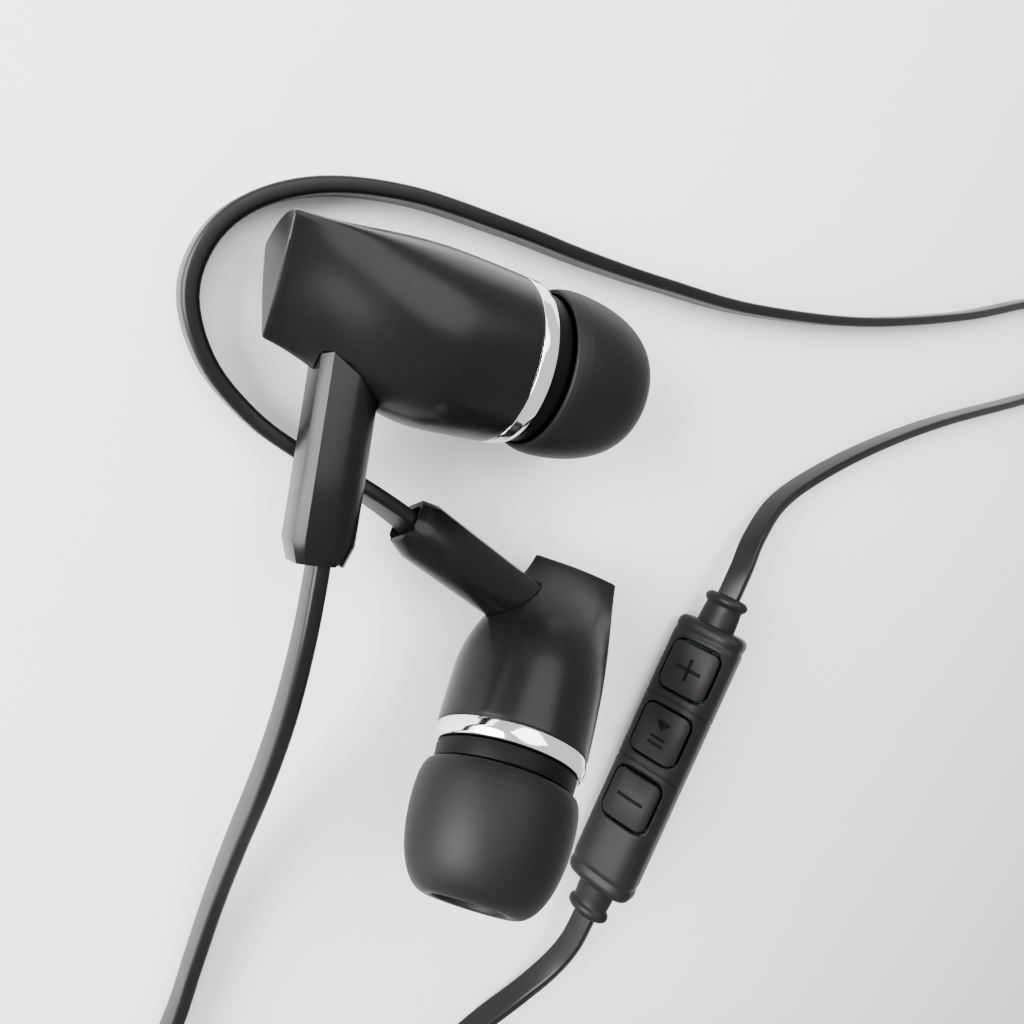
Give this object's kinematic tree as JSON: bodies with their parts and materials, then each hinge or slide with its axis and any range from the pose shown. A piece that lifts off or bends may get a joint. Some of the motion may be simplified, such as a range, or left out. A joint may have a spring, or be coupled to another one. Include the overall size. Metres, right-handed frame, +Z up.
{
  "type": "wired earphones",
  "caption": "In-ear wired earphones on flat ribbon cable, with an inline button remote, splitter, wound lead and 3.5 mm plug.",
  "frame": {"origin": "centre of the bottom of the box round both buds and the remote, on the surface that the set lies on", "axes": "+Z up from the surface, +Y the longer side of the layout of buds and remote"},
  "size_m": [0.155, 0.1377, 0.0193],
  "materials": {
    "satin_black": "satin black moulding",
    "silicone": "matte silicone",
    "cable_rubber": "smooth satin cable jacket",
    "bright_chrome": "mirror",
    "bare_steel": "bare",
    "gilt": "plated",
    "board_green": "circuit board",
    "clear_film": "thin film"
  },
  "bodies": {
    "root": {"lead_coil": "cable_rubber", "lead_end": "cable_rubber", "lead_start": "cable_rubber", "left_cable_anchor": "cable_rubber", "left_coil": "cable_rubber", "left_diaphragm": "clear_film", "left_driver_basket": "bare_steel", "left_driver_magnet": "bare_steel", "left_front_cap": "satin_black", "left_housing": "satin_black", "left_nozzle_mesh": "bare_steel", "left_ribbon": "cable_rubber", "left_ribbon_end": "cable_rubber", "left_stem": "satin_black", "left_terminal_board": "board_green", "left_trim_ring": "bright_chrome", "microphone": "bare_steel", "play_pause_switch": "bare_steel", "plug_audio_ring": "gilt", "plug_core": "cable_rubber", "plug_grip": "satin_black", "plug_ground_ring": "gilt", "plug_insulator_a": "cable_rubber", "plug_insulator_b": "cable_rubber", "plug_relief": "cable_rubber", "plug_sleeve": "gilt", "plug_tip": "gilt", "remote_board": "board_green", "remote_bottom_shell": "satin_black", "remote_lower_relief": "cable_rubber", "remote_top_shell": "satin_black", "remote_upper_relief": "cable_rubber", "right_cable_anchor": "cable_rubber", "right_diaphragm": "clear_film", "right_driver_basket": "bare_steel", "right_driver_magnet": "bare_steel", "right_front_cap": "satin_black", "right_housing": "satin_black", "right_lower_ribbon": "cable_rubber", "right_nozzle_mesh": "bare_steel", "right_stem": "satin_black", "right_terminal_board": "board_green", "right_trim_ring": "bright_chrome", "right_upper_ribbon": "cable_rubber", "splitter_bottom_shell": "satin_black", "splitter_top_shell": "satin_black", "volume_down_switch": "bare_steel", "volume_up_switch": "bare_steel"},
    "left_tip": {"left_ear_tip": "silicone"},
    "right_tip": {"right_ear_tip": "silicone"},
    "volume_up_key": {"volume_up_button": "satin_black"},
    "play_pause_key": {"play_pause_button": "satin_black"},
    "volume_down_key": {"volume_down_button": "satin_black"}
  },
  "joints": [
    {"name": "left_tip_pull", "type": "slide", "parent": "root", "child": "left_tip", "axis": [0.9561, -0.287, 0.059], "range_m": [0, 0.009]},
    {"name": "right_tip_pull", "type": "slide", "parent": "root", "child": "right_tip", "axis": [-0.6217, -0.6017, 0.5014], "range_m": [0, 0.009]},
    {"name": "volume_up_press", "type": "slide", "parent": "root", "child": "volume_up_key", "axis": [0.8103, -0.4506, -0.3746], "range_m": [0, 0.00035], "stiffness_N_per_m": 1500, "springref_m": -0.0004},
    {"name": "play_pause_press", "type": "slide", "parent": "root", "child": "play_pause_key", "axis": [0.8103, -0.4506, -0.3746], "range_m": [0, 0.00035], "stiffness_N_per_m": 1500, "springref_m": -0.0004},
    {"name": "volume_down_press", "type": "slide", "parent": "root", "child": "volume_down_key", "axis": [0.8103, -0.4506, -0.3746], "range_m": [0, 0.00035], "stiffness_N_per_m": 1500, "springref_m": -0.0004}
  ]
}
